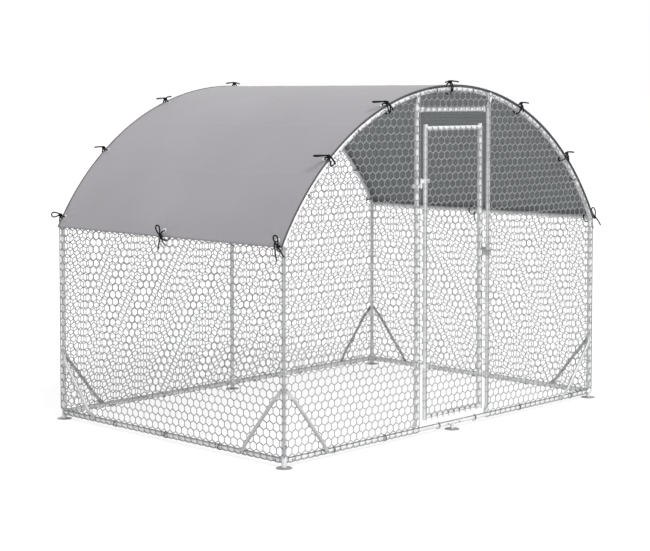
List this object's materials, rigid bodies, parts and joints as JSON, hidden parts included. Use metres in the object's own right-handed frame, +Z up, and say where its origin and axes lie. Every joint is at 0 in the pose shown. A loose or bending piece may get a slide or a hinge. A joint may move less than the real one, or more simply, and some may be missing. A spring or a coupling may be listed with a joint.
{
  "type": "walk-in poultry run",
  "caption": "Walk-in poultry run with an arched roof: round galvanised tube frame, hexagonal wire netting, a tied fabric rain cover, round feet and a hinged netted door with a flip-over latch.",
  "frame": {"origin": "on the ground under the middle of the footprint", "axes": "+X along the gable with the door, to the right seen from outside the door; +Y from the door to the back; +Z up"},
  "size_m": [2.9254, 1.9889, 2.0422],
  "materials": {
    "galvanised_tube": "galvanised, satin",
    "zinc_fittings": "zinc plated, satin",
    "zinc_hardware": "zinc plated",
    "wire_netting": "galvanised twisted wire, an open hexagonal weave",
    "cover_fabric": "coated woven fabric, matt",
    "cover_binding": "woven binding strip, matt",
    "tie_cord": "woven cord, matt",
    "eyelet_metal": "pressed metal"
  },
  "bodies": {
    "frame": {"clamp_bolts": "zinc_hardware", "corner_braces_front_left": "galvanised_tube", "corner_braces_front_right": "galvanised_tube", "corner_braces_rear_left": "galvanised_tube", "corner_braces_rear_right": "galvanised_tube", "corner_foot_front_left": "galvanised_tube", "corner_foot_front_right": "galvanised_tube", "corner_foot_rear_left": "galvanised_tube", "corner_foot_rear_right": "galvanised_tube", "corner_post_front_left": "galvanised_tube", "corner_post_front_right": "galvanised_tube", "corner_post_rear_left": "galvanised_tube", "corner_post_rear_right": "galvanised_tube", "cover": "cover_fabric", "cover_edge_binding": "cover_binding", "cover_eyelets": "eyelet_metal", "cover_ties": "tie_cord", "door_header": "galvanised_tube", "door_post_left": "galvanised_tube", "door_post_right": "galvanised_tube", "eave_elbows": "galvanised_tube", "eave_purlin_left": "galvanised_tube", "eave_purlin_right": "galvanised_tube", "frame_bolts": "zinc_hardware", "front_arch_left": "galvanised_tube", "front_arch_right": "galvanised_tube", "front_rail_left": "galvanised_tube", "front_rail_right": "galvanised_tube", "hinge_pins": "zinc_hardware", "lap_screws": "zinc_hardware", "latch_clamp": "zinc_fittings", "mid_foot_front": "galvanised_tube", "mid_foot_rear": "galvanised_tube", "netting_clips": "zinc_hardware", "netting_front_left": "wire_netting", "netting_front_right": "wire_netting", "netting_front_top": "wire_netting", "netting_rear": "wire_netting", "netting_roof": "wire_netting", "netting_side_left": "wire_netting", "netting_side_right": "wire_netting", "post_hinge_bands": "zinc_fittings", "rear_arch_left": "galvanised_tube", "rear_arch_right": "galvanised_tube", "rear_mid_post": "galvanised_tube", "rear_rail_left": "galvanised_tube", "rear_rail_right": "galvanised_tube", "ridge_purlin": "galvanised_tube", "ridge_tees": "galvanised_tube", "side_rail_left": "galvanised_tube", "side_rail_right": "galvanised_tube"},
    "door": {"door_stile_hinge_side": "galvanised_tube", "door_stile_latch_side": "galvanised_tube", "door_top_rail": "galvanised_tube", "door_bottom_rail": "galvanised_tube", "door_netting": "wire_netting", "door_hinge_bands": "zinc_fittings", "door_band_bolts": "zinc_hardware"},
    "latch": {"latch_fork": "zinc_fittings"}
  },
  "joints": [
    {"name": "door_hinge", "type": "hinge", "parent": "frame", "child": "door", "pos_m": [-0.2878, -0.945, 0.9185], "axis": [0, 0, -1], "range_deg": [-90, 110]},
    {"name": "latch_pivot", "type": "hinge", "parent": "frame", "child": "latch", "pos_m": [0.2885, -0.945, 1.044], "axis": [0, -1, 0], "range_deg": [0, 180]}
  ]
}
